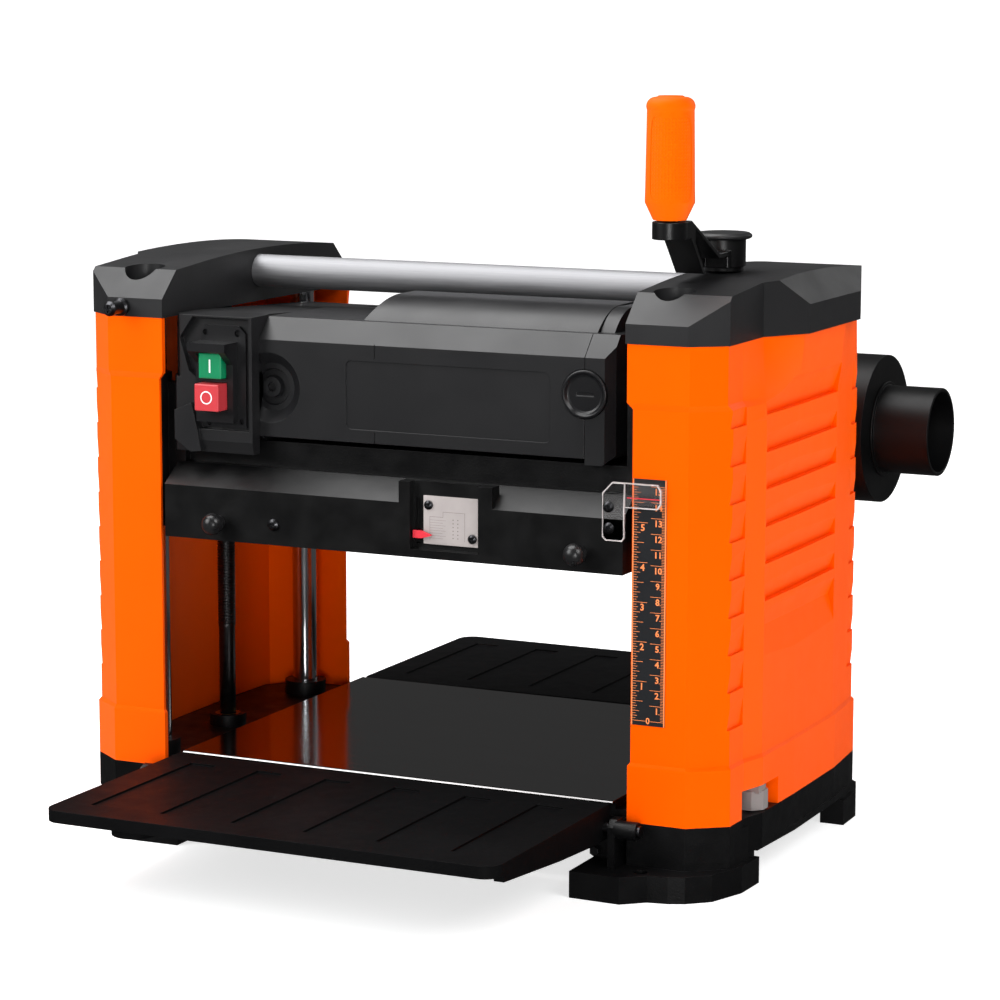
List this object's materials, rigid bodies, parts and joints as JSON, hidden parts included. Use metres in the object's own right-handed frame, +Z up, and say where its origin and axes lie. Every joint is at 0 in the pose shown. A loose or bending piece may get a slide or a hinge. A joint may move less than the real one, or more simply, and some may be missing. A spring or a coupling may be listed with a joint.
{
  "type": "thickness planer",
  "caption": "Bench-top thickness planer: folding feed tables, polished bed, crank-raised cutter head between two towers, height scale, switch and chip outlet.",
  "frame": {"origin": "on the bench surface under the four feet, midway between the two towers and midway between the front and rear foot bolts", "axes": "+Z up; +X to the operator's right, along the cutter; +Y the way the board travels, from infeed to outfeed"},
  "size_m": [0.5191, 0.61, 0.504],
  "materials": {
    "base_casting": "cast alloy under satin black paint",
    "bed_plate": "polished, mirror-like, dark under the head",
    "left_tower_shell": "moulded orange, fine grain",
    "right_tower_shell": "moulded orange, fine grain",
    "left_top_cap": "moulded black, fine grain",
    "right_top_cap": "moulded black, fine grain",
    "cap_screws": "dark zinc plate",
    "cross_tube": "drawn and lightly brushed",
    "guide_columns": "ground and plated",
    "hinge_brackets": "satin black",
    "hinge_pins": "bright zinc plate",
    "table_stop_bolts": "zinc plate",
    "scale_ruler": "black sheet with printed marks",
    "screw_bushings": "oiled bronze",
    "sync_chain": "oiled steel",
    "left_lead_screw": "blackened and greased",
    "right_lead_screw": "blackened and greased",
    "left_sprocket": "oiled steel",
    "right_sprocket": "oiled steel",
    "crank_arm": "satin black",
    "crank_cap": "moulded black",
    "crank_grip": "moulded orange grip with a dotted panel",
    "front_table": "satin black with fine texture",
    "rear_table": "satin black with fine texture",
    "depth_turret": "clear grey moulding",
    "head_casting": "as cast, dark",
    "front_apron": "satin black powder coat",
    "motor_cover": "moulded black",
    "end_cover": "moulded black",
    "top_shroud": "moulded black",
    "switch_panel": "moulded black",
    "switch_box": "moulded black",
    "brush_cap": "moulded black",
    "gauge_plate": "warm grey etched plate",
    "apron_screws": "zinc plate",
    "height_pointer": "clear moulding with a red hairline",
    "table_bumpers": "black rubber",
    "dust_hood": "moulded black",
    "dust_drum": "moulded black",
    "dust_reducer": "moulded black",
    "lead_nuts": "bronze",
    "cutter_bearings": "ground steel",
    "motor_can": "grey paint",
    "drive_belt": "ribbed rubber",
    "pawl_rod": "bright steel",
    "cable_gland": "moulded black",
    "feed_gearbox": "as cast",
    "cutterhead": "machined",
    "cutter_knives": "ground high-speed steel",
    "cutter_pulley": "machined",
    "motor_armature": "laminated steel",
    "motor_pulley": "machined",
    "infeed_roller_shaft": "ground steel",
    "outfeed_roller_shaft": "ground steel",
    "infeed_roller_rubber": "grey-black rubber",
    "outfeed_roller_rubber": "grey-black rubber",
    "kickback_pawls": "hardened steel",
    "start_button": "green with a white bar",
    "stop_button": "red with a pale ring",
    "gauge_pointer": "red"
  },
  "bodies": {
    "frame": {"base_casting": "base_casting", "bed_plate": "bed_plate", "left_tower_shell": "left_tower_shell", "right_tower_shell": "right_tower_shell", "left_top_cap": "left_top_cap", "right_top_cap": "right_top_cap", "cap_screws": "cap_screws", "cross_tube": "cross_tube", "guide_columns": "guide_columns", "hinge_brackets": "hinge_brackets", "hinge_pins": "hinge_pins", "table_stop_bolts": "table_stop_bolts", "scale_ruler": "scale_ruler", "screw_bushings": "screw_bushings", "sync_chain": "sync_chain"},
    "head": {"head_casting": "head_casting", "front_apron": "front_apron", "motor_cover": "motor_cover", "end_cover": "end_cover", "top_shroud": "top_shroud", "switch_panel": "switch_panel", "switch_box": "switch_box", "brush_cap": "brush_cap", "gauge_plate": "gauge_plate", "apron_screws": "apron_screws", "height_pointer": "height_pointer", "table_bumpers": "table_bumpers", "dust_hood": "dust_hood", "dust_drum": "dust_drum", "dust_reducer": "dust_reducer", "lead_nuts": "lead_nuts", "cutter_bearings": "cutter_bearings", "motor_can": "motor_can", "drive_belt": "drive_belt", "pawl_rod": "pawl_rod", "cable_gland": "cable_gland", "feed_gearbox": "feed_gearbox"},
    "cutter": {"cutterhead": "cutterhead", "cutter_knives": "cutter_knives", "cutter_pulley": "cutter_pulley"},
    "motor_rotor": {"motor_armature": "motor_armature", "motor_pulley": "motor_pulley"},
    "infeed_roller": {"infeed_roller_shaft": "infeed_roller_shaft", "infeed_roller_rubber": "infeed_roller_rubber"},
    "outfeed_roller": {"outfeed_roller_shaft": "outfeed_roller_shaft", "outfeed_roller_rubber": "outfeed_roller_rubber"},
    "pawls": {"kickback_pawls": "kickback_pawls"},
    "start_button": {"start_button": "start_button"},
    "stop_button": {"stop_button": "stop_button"},
    "gauge_pointer": {"gauge_pointer": "gauge_pointer"},
    "left_screw": {"left_lead_screw": "left_lead_screw", "left_sprocket": "left_sprocket"},
    "right_screw": {"right_lead_screw": "right_lead_screw", "right_sprocket": "right_sprocket", "crank_arm": "crank_arm", "crank_cap": "crank_cap"},
    "crank_grip": {"crank_grip": "crank_grip"},
    "front_table": {"front_table": "front_table"},
    "rear_table": {"rear_table": "rear_table"},
    "depth_turret": {"depth_turret": "depth_turret"}
  },
  "joints": [
    {"name": "crank_turn", "type": "hinge", "parent": "frame", "child": "right_screw", "pos_m": [0.187, -0.022, 0.2], "axis": [0, 0, -1], "range_deg": [-24768, 1692]},
    {"name": "left_screw_turn", "type": "hinge", "parent": "frame", "child": "left_screw", "pos_m": [-0.187, -0.022, 0.2], "axis": [0, 0, -1], "range_deg": [-24780, 1700]},
    {"name": "head_slide", "type": "slide", "parent": "frame", "child": "head", "axis": [0, 0, 1], "range_m": [-0.1377, 0.0095]},
    {"name": "grip_spin", "type": "hinge", "parent": "right_screw", "child": "crank_grip", "pos_m": [0.187, -0.113, 0.46], "axis": [0, 0, 1], "continuous": true},
    {"name": "front_table_fold", "type": "hinge", "parent": "frame", "child": "front_table", "pos_m": [0, -0.143, 0.042], "axis": [-1, 0, 0], "range_deg": [0, 78]},
    {"name": "rear_table_fold", "type": "hinge", "parent": "frame", "child": "rear_table", "pos_m": [0, 0.143, 0.042], "axis": [1, 0, 0], "range_deg": [0, 78]},
    {"name": "turret_turn", "type": "hinge", "parent": "frame", "child": "depth_turret", "pos_m": [0.229, -0.068, 0.055], "axis": [0, 0, 1], "continuous": true},
    {"name": "cutter_spin", "type": "hinge", "parent": "head", "child": "cutter", "pos_m": [0, 0, 0.2231], "axis": [1, 0, 0], "continuous": true},
    {"name": "motor_spin", "type": "hinge", "parent": "head", "child": "motor_rotor", "pos_m": [0, -0.062, 0.308], "axis": [1, 0, 0], "continuous": true},
    {"name": "infeed_spin", "type": "hinge", "parent": "head", "child": "infeed_roller", "pos_m": [0, -0.058, 0.2171], "axis": [1, 0, 0], "continuous": true},
    {"name": "outfeed_spin", "type": "hinge", "parent": "head", "child": "outfeed_roller", "pos_m": [0, 0.058, 0.2171], "axis": [1, 0, 0], "continuous": true},
    {"name": "pawl_swing", "type": "hinge", "parent": "head", "child": "pawls", "pos_m": [0, -0.104, 0.224], "axis": [1, 0, 0], "range_deg": [0, 45]},
    {"name": "start_press", "type": "slide", "parent": "head", "child": "start_button", "axis": [0, 1, 0], "range_m": [0, 0.002], "stiffness_N_per_m": 600, "springref_m": -0.001},
    {"name": "stop_press", "type": "slide", "parent": "head", "child": "stop_button", "axis": [0, 1, 0], "range_m": [0, 0.003], "stiffness_N_per_m": 600, "springref_m": -0.001},
    {"name": "pointer_slide", "type": "slide", "parent": "head", "child": "gauge_pointer", "axis": [0, 0, 1], "range_m": [0, 0.013]}
  ],
  "couplings": [
    {"joint": "head_slide", "follows": "crank_turn", "m_per_rad": 0.00031831},
    {"joint": "left_screw_turn", "follows": "crank_turn", "ratio": 1},
    {"joint": "motor_spin", "follows": "cutter_spin", "ratio": 1.5},
    {"joint": "infeed_spin", "follows": "cutter_spin", "ratio": -0.05},
    {"joint": "outfeed_spin", "follows": "cutter_spin", "ratio": -0.05}
  ]
}
